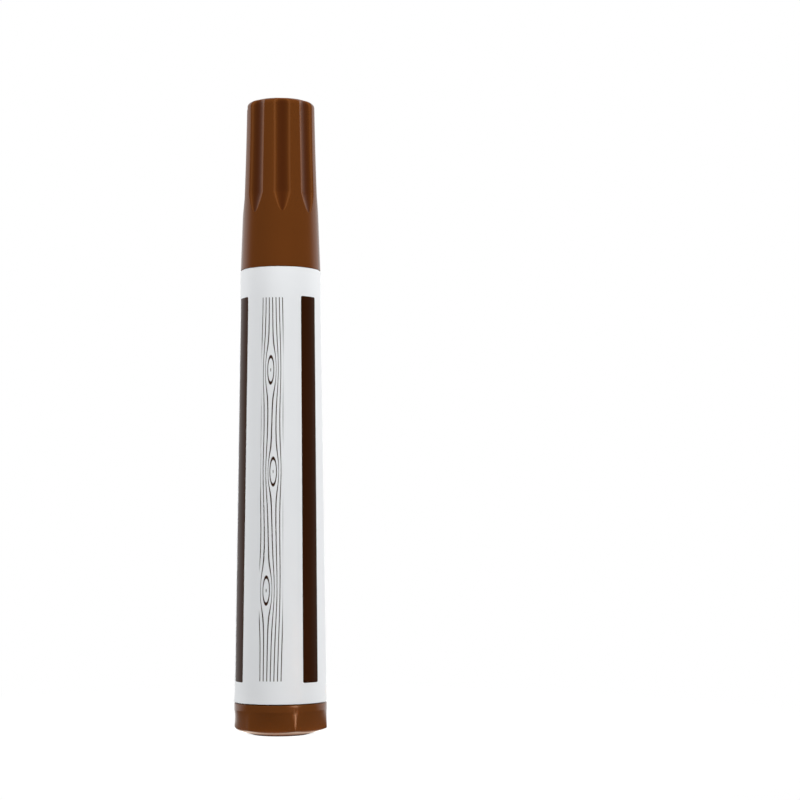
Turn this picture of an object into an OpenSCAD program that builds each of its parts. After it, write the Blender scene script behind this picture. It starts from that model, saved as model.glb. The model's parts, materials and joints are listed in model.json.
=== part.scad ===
// Furniture touch-up paint pen: a valve-action marker that stands on its tail plug.
// Lengths are in millimetres. The pen's axis is Z, the foot of the tail plug is at z = 0,
// and the middle of the label faces -Y. Angles are counted from there, towards +X.

/* [Tail plug] */
// Height of the plug that shows below the label
tail_h = 6.1; // [5:0.1:9]
// How far the plug's collar stands proud of the label
tail_proud = 0.05; // [0:0.01:0.2]
// Height of the round collar above the flats
tail_collar_h = 1.5; // [0.6:0.05:2.4]
// Number of flats that keep the pen from rolling
tail_flats = 6; // [5:1:8]
// Depth of each flat below the ridges, at the foot
tail_flat_depth = 0.5; // [0.2:0.05:0.6]
// How far the ridges flare out beyond the collar, at the foot
tail_flare = 0.27; // [0.1:0.01:0.4]
// Diameter of the flat foot that the pen stands on
foot_d = 9.2; // [7:0.1:12]
// Height of the dished underside, from the foot to the ridges
tail_under_h = 1.55; // [0.8:0.05:1.9]
// Share of that height that comes from the dish's curve, the rest is a straight cone
tail_under_bow = 0.6; // [0.2:0.05:0.9]
// Thickness of the plug's floor
tail_floor = 1.6; // [1.2:0.1:3]
// Length of the spigot that is pressed into the barrel
spigot_len = 8; // [5:0.5:14]
// Wall of the spigot
spigot_wall = 1.2; // [0.8:0.1:1.6]
// Lead-in chamfer on the spigot's end
spigot_lead = 0.4; // [0.1:0.1:0.7]

/* [Barrel and label] */
// Length of the labelled body, from the tail plug to the cap
body_len = 81.45; // [70:0.05:100]
// Diameter over the label at the tail plug
body_tail_d = 17.3; // [16.4:0.02:19]
// Diameter over the label at the cap
body_cap_d = 15.26; // [15:0.02:16.2]
// Length of the straight part below the cap
body_straight = 8; // [4:0.5:14]
// Wall of the barrel round the paint
barrel_wall = 1.1; // [0.8:0.05:1.3]
// Thickness of the shrunk label film
label_t = 0.1; // [0.05:0.01:0.2]

/* [Neck] */
// Diameter of the neck that the cap goes over
neck_d = 12.3; // [12:0.1:12.6]
// Length of the neck above the shoulder
neck_len = 9; // [8:0.1:11]
// Wall of the neck round the valve socket
neck_wall = 1.15; // [0.9:0.05:1.3]
// Height of the bead that grips the cap
bead_h = 0.2; // [0.1:0.05:0.25]
// Width of the bead along the neck
bead_w = 1.2; // [0.8:0.1:2]
// Height of the bead's middle above the shoulder
bead_up = 3; // [2:0.1:5]
// Chamfer on the neck's end
neck_chamfer = 0.3; // [0.1:0.05:0.5]
// Thickness of the ledge under the valve housing
ledge_t = 1.5; // [1:0.1:2.5]

/* [Tip holder] */
// Length of the plug that is pressed into the neck
holder_plug_len = 6.2; // [5:0.1:6.6]
// Height of the flange that sits on the neck
holder_flange_h = 1; // [0.7:0.1:1.5]
// Diameter of the land that the cap's liner seals on
seal_d = 9.7; // [9.2:0.1:9.8]
// Length of the sealing land
seal_len = 4; // [3:0.1:5]
// Diameter of the nose at the nib
nose_d = 6.6; // [6:0.1:7.5]
// Length of the tapered nose
nose_len = 5; // [4:0.1:6]
// Chamfer round the nose's end
nose_chamfer = 0.4; // [0.1:0.05:0.45]
// Depth of the paint well behind the nib's bore
well_depth = 5; // [4.6:0.1:5.4]
// Number of flow grooves along the nib's bore
flow_grooves = 3; // [2:1:4]
// Width of a flow groove
groove_w = 0.8; // [0.5:0.1:1.2]
// Depth of a flow groove
groove_depth = 0.35; // [0.2:0.05:0.5]

/* [Nib] */
// Diameter of the felt nib
nib_d = 4.6; // [4:0.1:5]
// Length of the nib
nib_len = 17.5; // [17:0.1:18.5]
// How far the nib stands out of the nose
nib_out = 4.8; // [4:0.1:5.6]
// Length of the rounded point
nib_point_len = 2.7; // [2:0.1:3.6]
// Chamfer on the nib's rear end
nib_chamfer = 0.3; // [0.1:0.05:0.5]

/* [Valve] */
// Height of the flange that is pressed into the neck
valve_flange_h = 5; // [4.2:0.1:6]
// Depth of the paint chamber above the seat
chamber_depth = 2.5; // [2:0.1:2.8]
// Wall of the flange round the chamber
chamber_wall = 1.1; // [0.8:0.1:1.4]
// Diameter of the cage that hangs in the tank
cage_d = 8.4; // [8:0.1:9]
// Wall of the cage
cage_wall = 0.9; // [0.7:0.05:1.1]
// Length of the cage below the ledge
cage_len = 13.5; // [12.5:0.1:16]
// Number of windows that let paint into the cage
cage_windows = 4; // [3:1:5]
// Width of a window
window_w = 2.4; // [1.6:0.1:3]
// Height of a window
window_h = 7; // [5:0.1:7.6]
// Height of a window's sill above the end of the cage
window_sill = 3.4; // [2.6:0.1:4]
// Thickness of the seat plate
seat_t = 1.3; // [1.2:0.05:1.6]
// Diameter of the hole through the seat
seat_hole_d = 2.6; // [2.5:0.05:3]
// Diameter of the conical seat at its mouth
seat_d = 4.6; // [4.2:0.1:4.8]
// Diameter of the stem's front rod
stem_d = 2.1; // [1.8:0.05:2.2]
// Diameter of the poppet
poppet_d = 4.8; // [4.8:0.05:5.2]
// Length of the poppet behind its cone
poppet_len = 1.6; // [1.2:0.1:2]
// Diameter of the stem's rear guide rod
guide_d = 2.4; // [2:0.1:2.6]
// How far the guide rod reaches into the retainer with the valve closed
guide_in = 1.1; // [0.6:0.1:1.2]
// Thickness of the spring retainer
retainer_t = 1.5; // [1.2:0.1:2]
// Number of flow notches in the retainer's rim
retainer_notches = 3; // [3:1:5]
// Width of a notch
notch_w = 1.6; // [1:0.1:2]
// Depth of a notch
notch_depth = 0.7; // [0.4:0.05:0.8]

/* [Spring] */
// Diameter of the spring wire
wire_d = 0.5; // [0.4:0.05:0.55]
// Mean diameter of the coil
coil_d = 3.8; // [3.6:0.05:4]
// Number of turns, with the closed turn at each end
spring_turns = 7; // [5:1:8]

/* [Mixing balls] */
// Diameter of a ball
ball_d = 5; // [3:0.1:5.4]
// Gap between the two balls when both are down
ball_apart = 1.2; // [0.4:0.1:1.5]

/* [Cap] */
// Length of the cap
cap_len = 32.45; // [31:0.05:36]
// Diameter at the rim
cap_rim_d = 15.2; // [14.9:0.02:16.2]
// Diameter at the waist, above which the taper eases
cap_waist_d = 14.06; // [13.9:0.02:14.6]
// Height of the waist above the rim
cap_waist_up = 16; // [13:0.1:19]
// Diameter at the top
cap_top_d = 13.26; // [12.8:0.02:13.6]
// Radius of the rounded top edge
cap_edge_r = 1.1; // [0.5:0.05:1.3]
// Chamfer round the outside of the rim
cap_rim_chamfer = 0.2; // [0.05:0.05:0.3]
// Thickness of the cap's roof
cap_roof = 1.6; // [1.2:0.1:2.2]
// Number of flutes round the cap
flutes = 8; // [6:1:9]
// Width of a flute at the top
flute_w = 2.95; // [2:0.05:3.2]
// Depth of a flute at the top
flute_depth = 0.7; // [0.4:0.05:0.8]
// Length of a flute, from the top to its pointed end
flute_len = 21.9; // [14:0.1:22]
// Length over which a flute runs out to its point
flute_runout = 3.8; // [3:0.1:7]
// Turn of the cap on the neck, from the label's middle to a flute
cap_turn = 14; // [0:0.1:44]

/* [Cap liner] */
// Wall of the soft liner inside the cap
liner_wall = 0.5; // [0.35:0.05:0.6]
// Inside diameter of the liner at its closed end
liner_end_d = 8.2; // [7.6:0.1:8.6]

/* [Fits] */
// Radial clearance of a sliding fit
run_gap = 0.05; // [0.02:0.01:0.1]
// Gap that a closed valve keeps at its seat
seat_gap = 0.05; // [0.02:0.01:0.1]
// Gap between the cap's inner step and the tip holder's flange
step_gap = 0.4; // [0.2:0.05:0.8]

/* [Hidden] */
$fn = 96;

// Thickness of a slice in a lofted hull, and the overshoot of a cutter
slice = 0.01;
over = 1;

brown = "#64381a";
white = "#eceef0";
natural = "#e4dfd2";
felt = "#7a4a2a";
steel = "#b9bcc0";

// Heights of the faces that pieces share, from the foot up
z_flats = tail_h - tail_collar_h;
z_body = tail_h;
z_spigot = z_body + spigot_len;
z_shoulder = z_body + body_len;
z_straight = z_shoulder - body_straight;
z_bead = z_shoulder + bead_up;
z_neck = z_shoulder + neck_len;
z_flange = z_neck + holder_flange_h;
z_seal = z_flange + seal_len;
z_nose = z_seal + nose_len;
z_nib_tip = z_nose + nib_out;
z_nib_rear = z_nib_tip - nib_len;
z_valve = z_neck - holder_plug_len;
z_well = z_valve + well_depth;
z_ledge = z_valve - valve_flange_h;
z_tank_roof = z_ledge - ledge_t;
z_chamber = z_valve - chamber_depth;
z_seat = z_chamber - seat_t;
z_cage = z_ledge - cage_len;
z_retainer = z_cage + retainer_t;
z_cone = z_seat - seat_gap;
z_step = z_flange + step_gap;
z_liner = z_seal + step_gap;
z_cap_top = z_shoulder + cap_len;
z_cap_roof = z_cap_top - cap_roof;
z_waist = z_shoulder + cap_waist_up;
z_flute_end = z_cap_top - flute_len;

// Radii that pieces share
tail_r = body_tail_d / 2 + tail_proud;
ridge_r = tail_r + tail_flare;
foot_r = foot_d / 2;
body_tail_r = body_tail_d / 2;
body_cap_r = body_cap_d / 2;
spigot_r = body_tail_r - label_t - barrel_wall;
neck_r = neck_d / 2;
socket_r = neck_r - neck_wall;
seal_r = seal_d / 2;
nib_r = nib_d / 2;
chamber_r = socket_r - chamber_wall;
cage_r = cage_d / 2;
cage_bore_r = cage_r - cage_wall;
seat_r = seat_d / 2;
seat_hole_r = seat_hole_d / 2;
stem_r = stem_d / 2;
poppet_r = poppet_d / 2;
guide_r = guide_d / 2;
ball_r = ball_d / 2;
ball_x = ball_r + ball_apart / 2;
cap_bore_r = neck_r + bead_h + run_gap;
cap_rim_r = cap_rim_d / 2;
cap_waist_r = cap_waist_d / 2;
cap_top_r = cap_top_d / 2;
liner_bore_r = seal_r + run_gap;
liner_r = liner_bore_r + liner_wall;
liner_end_r = liner_end_d / 2 + liner_wall;

// Height of the poppet's rear face, which the spring pushes on
z_poppet = z_cone - (poppet_r - seat_r) - poppet_len;

// Value at height z on the straight line between two [radius, height] points
function on_line(low, high, z) = low[0] + (high[0] - low[0]) * (z - low[1]) / (high[1] - low[1]);

// Radius over the label at height z
function body_r(z) = on_line([body_tail_r, z_body], [body_cap_r, z_straight], z);

// Radius over the cap at height z: a straight taper that eases above the waist, to meet the top
grip_len = z_cap_top - z_waist;
cap_slope = (cap_rim_r - cap_waist_r) / cap_waist_up;
cap_ease = (cap_top_r - cap_waist_r + cap_slope * grip_len) / pow(grip_len, 2);
function cap_r(z) = cap_waist_r - cap_slope * (z - z_waist) + cap_ease * pow(max(z - z_waist, 0), 2);

// A quarter of an ellipse from the side (a, 0) to the top (0, b), about a centre
function quarter(centre, a, b, steps) =
    [for (i = [0 : steps]) centre + [a * cos(90 * i / steps), b * sin(90 * i / steps)]];

// One turned solid from its [radius, height] outline
module turned(outline) {
    rotate_extrude() polygon(outline);
}

// Copies set evenly round the axis, the first one facing -Y
module round_axis(count, turn = 0) {
    for (i = [0 : count - 1]) rotate(turn + 360 * i / count) children();
}

// Straight slot cutters that reach out from the axis, between two heights
module slots(count, width, inner, outer, low, high) {
    round_axis(count) translate([-width / 2, -outer, low]) cube([width, outer - inner, high - low]);
}

// Tail plug: a round collar that turns into bowed flats, a dished underside, and a hollow spigot

// Outline of the flats below the collar, each one a shallow arc from ridge to ridge
module flats_outline() {
    half = 180 / tail_flats;
    flat_r = ridge_r - tail_flat_depth;
    sag = flat_r - ridge_r * cos(half);
    bow_r = (pow(sag, 2) + pow(ridge_r * sin(half), 2)) / (2 * sag);
    intersection_for(i = [0 : tail_flats - 1])
        rotate(360 * i / tail_flats) translate([0, bow_r - flat_r]) circle(bow_r, $fn = 180);
}

// Height of the dished underside at radius r
function under_z(r) = let (share = (r - foot_r) / (ridge_r - foot_r))
    tail_under_h * share * (1 - tail_under_bow + tail_under_bow * share);

module tail_head() {
    under_steps = 5;
    outer_r = ridge_r + over;
    intersection() {
        hull() {
            translate([0, 0, z_flats - slice]) linear_extrude(slice) circle(tail_r, $fn = 72);
            linear_extrude(tail_under_h) flats_outline();
        }
        turned(concat(
            [[0, z_flats], [0, 0]],
            [for (i = [0 : under_steps]) let (r = foot_r + (outer_r - foot_r) * i / under_steps) [r, under_z(r)]],
            [[outer_r, z_flats]]
        ));
    }
}

module tail_plug() {
    bore_r = spigot_r - spigot_wall;
    color(brown) difference() {
        union() {
            tail_head();
            translate([0, 0, z_flats]) cylinder(h = tail_collar_h, r = tail_r);
            translate([0, 0, z_body]) cylinder(h = spigot_len - spigot_lead, r = spigot_r);
            translate([0, 0, z_spigot - spigot_lead])
                cylinder(h = spigot_lead, r1 = spigot_r, r2 = spigot_r - spigot_lead);
        }
        translate([0, 0, tail_floor]) cylinder(h = z_spigot, r = bore_r);
    }
}

// Barrel: the paint tank, a shoulder for the cap, and a neck that holds the valve and the tip
module barrel() {
    wall = label_t + barrel_wall;
    cage_hole_r = cage_r + run_gap;
    color(white) turned([
        [spigot_r, z_body], [body_tail_r - label_t, z_body],
        [body_cap_r - label_t, z_straight], [body_cap_r - label_t, z_shoulder], [neck_r, z_shoulder],
        [neck_r, z_bead - bead_w / 2], [neck_r + bead_h, z_bead - bead_h / 2],
        [neck_r + bead_h, z_bead + bead_h / 2], [neck_r, z_bead + bead_w / 2],
        [neck_r, z_neck - neck_chamfer], [neck_r - neck_chamfer, z_neck], [socket_r, z_neck],
        [socket_r, z_ledge], [cage_hole_r, z_ledge], [cage_hole_r, z_tank_roof],
        [body_cap_r - wall, z_tank_roof], [body_cap_r - wall, z_straight],
        [body_r(z_spigot) - wall, z_spigot], [spigot_r, z_spigot]
    ]);
}

// Label: a film sleeve that is shrunk onto the barrel
module label_sleeve() {
    color(white) turned([
        [body_tail_r - label_t, z_body], [body_tail_r, z_body],
        [body_cap_r, z_straight], [body_cap_r, z_shoulder],
        [body_cap_r - label_t, z_shoulder], [body_cap_r - label_t, z_straight]
    ]);
}

// Tip holder: pressed into the neck, with the land that the cap seals on and the nib's bore
module tip_holder() {
    bore_r = nib_r + run_gap;
    nose_r = nose_d / 2;
    color(natural) difference() {
        turned([
            [chamber_r, z_valve], [socket_r, z_valve], [socket_r, z_neck], [neck_r, z_neck],
            [neck_r, z_flange], [seal_r, z_flange], [seal_r, z_seal],
            [nose_r, z_nose - nose_chamfer], [nose_r - nose_chamfer, z_nose], [bore_r, z_nose],
            [bore_r, z_well], [chamber_r, z_well - (chamber_r - bore_r)]
        ]);
        slots(flow_grooves, groove_w, 0, bore_r + groove_depth, z_valve - over, z_nose + over);
    }
}

// Nib: a felt rod with a bullet point
module nib() {
    point_steps = 8;
    z_point = z_nib_tip - nib_point_len;
    color(felt) turned(concat(
        [[0, z_nib_rear], [nib_r - nib_chamfer, z_nib_rear], [nib_r, z_nib_rear + nib_chamfer]],
        quarter([0, z_point], nib_r, nib_point_len, point_steps)
    ));
}

// Valve housing: a flange pressed into the neck, the valve seat, and a windowed cage in the tank
module valve_housing() {
    z_sill = z_cage + window_sill;
    color(natural) difference() {
        turned([
            [cage_bore_r, z_cage], [cage_r, z_cage], [cage_r, z_ledge], [socket_r, z_ledge],
            [socket_r, z_valve], [chamber_r, z_valve], [chamber_r, z_chamber],
            [seat_hole_r, z_chamber], [seat_hole_r, z_seat + seat_r - seat_hole_r],
            [seat_r, z_seat], [cage_bore_r, z_seat]
        ]);
        slots(cage_windows, window_w, 0, cage_r + over, z_sill, z_sill + window_h);
    }
}

// Valve stem: a front rod that meets the nib, a poppet that closes the seat, and a rear guide rod
module valve_stem() {
    z_guide = z_retainer - guide_in;
    color(white) turned([
        [0, z_guide], [guide_r, z_guide], [guide_r, z_poppet], [poppet_r, z_poppet],
        [poppet_r, z_poppet + poppet_len], [stem_r, z_cone + seat_r - stem_r],
        [stem_r, z_nib_rear], [0, z_nib_rear]
    ]);
}

// Valve spring: round wire in open turns, with one closed turn at each end
spring_span = z_poppet - z_retainer - wire_d;
function coil_height(turn) =
    turn <= 1 ? turn * wire_d
    : turn >= spring_turns - 1 ? spring_span - (spring_turns - turn) * wire_d
    : on_line([wire_d, 1], [spring_span - wire_d, spring_turns - 1], turn);

module valve_spring() {
    sides = 8;
    turn_steps = 20;
    steps = spring_turns * turn_steps;
    rings = [for (i = [0 : steps]) let (angle = 360 * i / turn_steps, z = coil_height(i / turn_steps))
        [for (j = [0 : sides - 1])
            let (out = coil_d / 2 + wire_d / 2 * cos(360 * j / sides))
            [out * cos(angle), out * sin(angle), z + wire_d / 2 * sin(360 * j / sides)]]];
    points = [for (ring = rings) each ring];
    walls = [for (i = [0 : steps - 1], j = [0 : sides - 1]) let (k = (j + 1) % sides)
        each [[i * sides + j, i * sides + k, (i + 1) * sides + k],
              [i * sides + j, (i + 1) * sides + k, (i + 1) * sides + j]]];
    first = [[for (j = [sides - 1 : -1 : 0]) j]];
    last = [[for (j = [0 : sides - 1]) steps * sides + j]];
    color(steel) translate([0, 0, z_retainer + wire_d / 2])
        polyhedron(points, concat(walls, first, last));
}

// Spring retainer: a notched disc pressed into the end of the cage
module spring_retainer() {
    color(natural) difference() {
        turned([
            [guide_r + run_gap, z_cage], [cage_bore_r, z_cage],
            [cage_bore_r, z_retainer], [guide_r + run_gap, z_retainer]
        ]);
        slots(retainer_notches, notch_w, cage_bore_r - notch_depth, cage_r, z_cage - over, z_retainer + over);
    }
}

// Mixing balls: two loose balls that stir the paint when the pen is shaken
module mixing_ball(side) {
    color(steel) translate([side * ball_x, 0, tail_floor + ball_r]) sphere(ball_r);
}
module mixing_ball_1() mixing_ball(-1);
module mixing_ball_2() mixing_ball(1);

// Cap shell: a tapered cup with flutes that run out to a point on its lower half

// One flute cutter that follows the grip, a straight round with a conical end
module flute_cutter() {
    half_w = flute_w / 2;
    floor_r = cap_top_r - flute_depth;
    sag = sqrt(pow(cap_top_r, 2) - pow(half_w, 2)) - floor_r;
    cut_r = (pow(half_w, 2) + pow(sag, 2)) / (2 * sag);
    straight = flute_len - flute_runout;
    slope = (cap_r(z_cap_top - straight) - cap_top_r) / straight;
    axis_r = floor_r + cut_r;
    end_r = axis_r + slope * flute_len - cap_r(z_flute_end);
    translate([0, -axis_r, z_cap_top]) rotate([-atan(slope), 0, 0]) {
        translate([0, 0, -straight]) cylinder(h = straight + over, r = cut_r);
        translate([0, 0, -flute_len]) cylinder(h = flute_runout, r1 = end_r, r2 = cut_r);
    }
}

module cap_shell() {
    edge_steps = 6;
    grip_steps = 6;
    color(brown) difference() {
        turned(concat(
            [[cap_bore_r, z_shoulder], [cap_rim_r - cap_rim_chamfer, z_shoulder],
             [cap_rim_r, z_shoulder + cap_rim_chamfer]],
            [for (i = [0 : grip_steps - 1]) let (z = z_waist + grip_len * i / grip_steps) [cap_r(z), z]],
            quarter([cap_top_r - cap_edge_r, z_cap_top - cap_edge_r], cap_edge_r, cap_edge_r, edge_steps),
            [[0, z_cap_top], [0, z_cap_roof], [liner_end_r, z_cap_roof],
             [liner_r, z_liner], [liner_r, z_step], [cap_bore_r, z_step]]
        ));
        round_axis(flutes, cap_turn) flute_cutter();
    }
}

// Cap liner: a soft cup that seals on the tip holder's land
module cap_liner() {
    z_end = z_cap_roof - liner_wall;
    color(natural) turned([
        [liner_bore_r, z_step], [liner_r, z_step], [liner_r, z_liner], [liner_end_r, z_cap_roof],
        [0, z_cap_roof], [0, z_end], [liner_end_r - liner_wall, z_end], [liner_bore_r, z_liner]
    ]);
}

barrel();
label_sleeve();
tail_plug();
tip_holder();
nib();
valve_housing();
valve_stem();
valve_spring();
spring_retainer();
mixing_ball_1();
mixing_ball_2();
cap_shell();
cap_liner();
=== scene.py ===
# %% [markdown]
# # A furniture touch-up paint pen
# The pen stands on its tail with the cap on. What shows is a brown fluted cap, a white printed
# film round a tapered body, and a brown tail plug with flats. Under the cap there is a neck, a
# tip holder and a felt nib, and inside the body a valve, a spring and two mixing balls.
#
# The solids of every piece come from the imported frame, which fixes sizes, places and joints.
# Here each piece gets a finer mesh and a finish, and rides on the body that carries it.

# %% Load the fixed frame
import json
import math

import bpy
from mathutils import Matrix, Vector


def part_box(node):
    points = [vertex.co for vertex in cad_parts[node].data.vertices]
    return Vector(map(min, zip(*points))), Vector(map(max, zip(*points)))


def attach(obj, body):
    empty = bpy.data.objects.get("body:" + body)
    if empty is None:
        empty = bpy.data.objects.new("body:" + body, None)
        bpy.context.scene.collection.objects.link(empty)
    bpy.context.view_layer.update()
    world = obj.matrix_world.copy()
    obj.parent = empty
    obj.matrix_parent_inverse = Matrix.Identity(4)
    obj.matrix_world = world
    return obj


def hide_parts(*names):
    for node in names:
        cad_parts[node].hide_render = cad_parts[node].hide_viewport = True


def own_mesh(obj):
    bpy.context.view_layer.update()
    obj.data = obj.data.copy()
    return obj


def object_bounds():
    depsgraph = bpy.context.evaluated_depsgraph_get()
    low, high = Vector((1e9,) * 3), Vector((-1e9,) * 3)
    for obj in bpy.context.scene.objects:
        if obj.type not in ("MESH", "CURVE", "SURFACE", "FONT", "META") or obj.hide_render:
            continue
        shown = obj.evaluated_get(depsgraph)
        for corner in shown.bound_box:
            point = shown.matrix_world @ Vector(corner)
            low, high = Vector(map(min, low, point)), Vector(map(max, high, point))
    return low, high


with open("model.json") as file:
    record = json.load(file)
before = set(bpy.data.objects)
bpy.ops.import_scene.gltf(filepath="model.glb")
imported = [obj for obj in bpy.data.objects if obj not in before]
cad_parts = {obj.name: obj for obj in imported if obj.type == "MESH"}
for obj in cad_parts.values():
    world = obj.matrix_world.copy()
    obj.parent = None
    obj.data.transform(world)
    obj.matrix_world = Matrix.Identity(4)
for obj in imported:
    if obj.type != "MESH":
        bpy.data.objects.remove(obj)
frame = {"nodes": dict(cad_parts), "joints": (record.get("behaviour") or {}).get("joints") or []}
cad_low, cad_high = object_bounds()
MM = 0.001
print("solids:", sorted(frame["nodes"]))
print("box in mm:", [round(c / MM, 2) for c in (*cad_low, *cad_high)])

# %% [markdown]
# ## Heights and radii
# A pen is a stack of turned pieces, so its shape is a list of heights along the axis and of radii.
# The heights where pieces meet are read from the frame's boxes, and so is the widest radius. What a
# box can't tell, such as the waist of the cap or the depth of a flute, is a named size here.

# %% Read where the pieces meet
def heights(node):
    """Lowest and highest point of a solid along the pen."""
    low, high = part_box(node)
    return low.z, high.z


def half_width(node):
    """Greatest radius of a round solid."""
    low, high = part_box(node)
    return (high.y - low.y) / 2


label_low, label_high = heights("label_sleeve")
cap_low, cap_high = heights("cap_shell")
spigot_high = heights("tail_plug")[1]
tail_r = half_width("tail_plug")
body_tail_r = half_width("label_sleeve")
cap_rim_r = half_width("cap_shell")
print(f"label from {label_low / MM:.1f} to {label_high / MM:.1f} mm, cap up to {cap_high / MM:.1f} mm")
print(f"radius {tail_r / MM:.2f} mm at the tail and {cap_rim_r / MM:.2f} mm at the cap's rim")

# %% [markdown]
# ## The lathe
# Nearly every piece of a pen is turned or moulded round one axis. By hand, such a piece is drawn as
# half of its section: one vertex is extruded from corner to corner, the corners are rounded with a
# vertex bevel, and the line is spun once round Z. A ready-made cylinder would need as many cuts
# and scalings, and it would leave its corners sharp. The outline is a list of (radius, height) points,
# and a third number rounds that corner.

# %% Draw an outline and spin it
same_point = 1e-3 * MM
weld = 1e-4 * MM


def select_points(piece, wanted):
    """Select the vertices of a piece, in object mode, that a test on their place picks."""
    for part in (piece.data.polygons, piece.data.edges):
        for element in part:
            element.select = False
    for vertex in piece.data.vertices:
        vertex.select = wanted(vertex.co)


def is_near(*corners):
    """A test for the vertices that lie on one of these (radius, height) corners of an outline."""
    places = [Vector((corner[0], 0, corner[1])) for corner in corners]
    return lambda place: min((place - other).length for other in places) < same_point


def draw_outline(name, outline, closed=False, rounding=4):
    """A new object whose mesh is one line through the outline, drawn in the XZ plane."""
    bpy.ops.object.select_all(action="DESELECT")
    bpy.ops.mesh.primitive_plane_add(size=MM)
    piece = bpy.context.object
    piece.name = name
    bpy.ops.object.mode_set(mode="EDIT")
    bpy.ops.mesh.select_all(action="SELECT")
    bpy.ops.mesh.merge(type="CENTER")
    here = Vector((0, 0, 0))
    for step, corner in enumerate(outline):
        there = Vector((corner[0], 0, corner[1]))
        if step == 0:
            bpy.ops.transform.translate(value=there)
        else:
            bpy.ops.mesh.extrude_region_move(TRANSFORM_OT_translate={"value": there - here})
        here = there
    bpy.ops.object.mode_set(mode="OBJECT")
    if closed:
        select_points(piece, is_near(outline[0], outline[-1]))
        bpy.ops.object.mode_set(mode="EDIT")
        bpy.ops.mesh.edge_face_add()
        bpy.ops.object.mode_set(mode="OBJECT")
    for corner in outline:
        if len(corner) == 3:
            select_points(piece, is_near(corner))
            bpy.ops.object.mode_set(mode="EDIT")
            bpy.ops.mesh.bevel(offset=corner[2], segments=rounding, affect="VERTICES")
            bpy.ops.object.mode_set(mode="OBJECT")
    return piece


def spin_outline(piece, steps):
    """Spin a drawn outline once round the pen's axis, and close its seam and poles."""
    bpy.ops.object.mode_set(mode="EDIT")
    bpy.ops.mesh.select_all(action="SELECT")
    bpy.ops.mesh.spin(steps=steps, angle=2 * math.pi, center=(0, 0, 0), axis=(0, 0, 1))
    bpy.ops.mesh.select_all(action="SELECT")
    bpy.ops.mesh.remove_doubles(threshold=weld)
    bpy.ops.mesh.normals_make_consistent(inside=False)
    bpy.ops.object.mode_set(mode="OBJECT")
    print(f"{piece.name}: {len(piece.data.vertices)} vertices, {len(piece.data.polygons)} faces")
    return piece


def turned(name, outline, steps, closed=False):
    """A whole turned piece."""
    return spin_outline(draw_outline(name, outline, closed), steps)


def smooth(piece, angle=35):
    """Smooth shading that keeps the edges sharper than an angle in degrees."""
    bpy.ops.object.select_all(action="DESELECT")
    piece.select_set(True)
    bpy.context.view_layer.objects.active = piece
    bpy.ops.object.shade_smooth_by_angle(angle=math.radians(angle))
    return piece


# %% [markdown]
# ## Pressing a form into a turned skin
# The flutes of the cap and the flats of the tail aren't turned. A Boolean would cut them, but it
# leaves long thin faces, and a bevel along such an edge breaks up. So the outline gets enough rings,
# and each vertex of the skin is moved in or out to where the formed surface lies. Two surfaces meet in
# a soft edge, because a smooth minimum rounds the corner between them. An attribute, which the finish
# reads, keeps how near a vertex lies to such an edge, or as a negative number how deep in a hollow.

# %% Press a skin and remember its edges and hollows
def between(low, high, share):
    """The value that lies at a share of the way from low to high."""
    return low + (high - low) * share


def smooth_min(a, b, blend):
    """The smaller of a and b with the corner rounded over a length, and how near it is, from 0 to 1."""
    near = max(blend - abs(a - b), 0) / blend
    return min(a, b) - near * near * blend / 4, near


def press(piece, rule):
    """Move the vertices of a turned piece to the radius and height that a rule gives, and keep its form."""
    form = piece.data.attributes.new("form", "FLOAT", "POINT")
    moved = 0
    for vertex in piece.data.vertices:
        radius = vertex.co.xy.length
        angle = math.atan2(vertex.co.x, -vertex.co.y)
        formed = rule(radius, angle, vertex.co.z)
        if formed:
            new_radius, new_z, edge_or_hollow = formed
            vertex.co.xy *= new_radius / radius
            vertex.co.z = new_z
            form.data[vertex.index].value = edge_or_hollow
            moved += 1
    print(f"{piece.name}: {moved} vertices pressed")


def steps_between(start, end, count):
    """Evenly spaced values from start up to, but without, end."""
    return [between(start, end, index / count) for index in range(count)]


# %% [markdown]
# ## The cap
# A moulded cap, wide at its rim and narrower at the grip, where the taper eases into a slim curve.
# Eight round flutes start at the top and end in a point, where the round tool that cut the mould left
# it. The cap is turned first, with close rings where the flutes run out, and the flutes are pressed in:
# a ray at some angle from the middle of a flute meets the round cutter at a radius that a circle's
# formula gives. The cutter gets thinner towards the point, so the flute runs out there by itself. The
# top edge is well rounded, and the flutes cut through that round, as they do in the mould.

# %% The cap's skin
cap_top_r = 6.63 * MM
cap_waist_r = 7.03 * MM
cap_waist_z = cap_low + 16 * MM
cap_edge_r = 1.1 * MM
cap_rim_edge = 0.12 * MM
cap_bore_r = 6.4 * MM
cap_step_z = cap_low + 10.4 * MM
liner_r = 5.4 * MM
liner_mouth_z = cap_low + 14.4 * MM
liner_end_r = 4.6 * MM
cap_roof_z = cap_high - 1.6 * MM
cap_slope = (cap_rim_r - cap_waist_r) / (cap_waist_z - cap_low)
grip_len = cap_high - cap_waist_z
grip_ease = (cap_top_r - cap_waist_r + cap_slope * grip_len) / grip_len**2


def cap_skin(z):
    """Radius of the cap before its flutes are pressed: a taper that eases above the waist."""
    up = z - cap_waist_z
    return cap_waist_r - cap_slope * up + grip_ease * max(up, 0) ** 2


print(f"grip {grip_len / MM:.1f} mm long, {cap_skin(cap_high) / MM:.2f} mm in radius at the top")

# %% Turn the cap and press the flutes
flute_count = 8
flute_half_w = 1.475 * MM
flute_depth = 0.7 * MM
flute_end_z = cap_high - 21.9 * MM
flute_full_z = flute_end_z + 3.8 * MM
flute_edge = 0.78 * MM
cap_turn = math.radians(14)
steps_per_flute = 84
grip_rings = 28
point_rings = 25
skirt_rings = 8
grip_top_z = cap_high - 1.3 * MM
skirt_top_z = flute_end_z - 0.5 * MM
skirt_low_z = cap_low + 0.5 * MM

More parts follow.
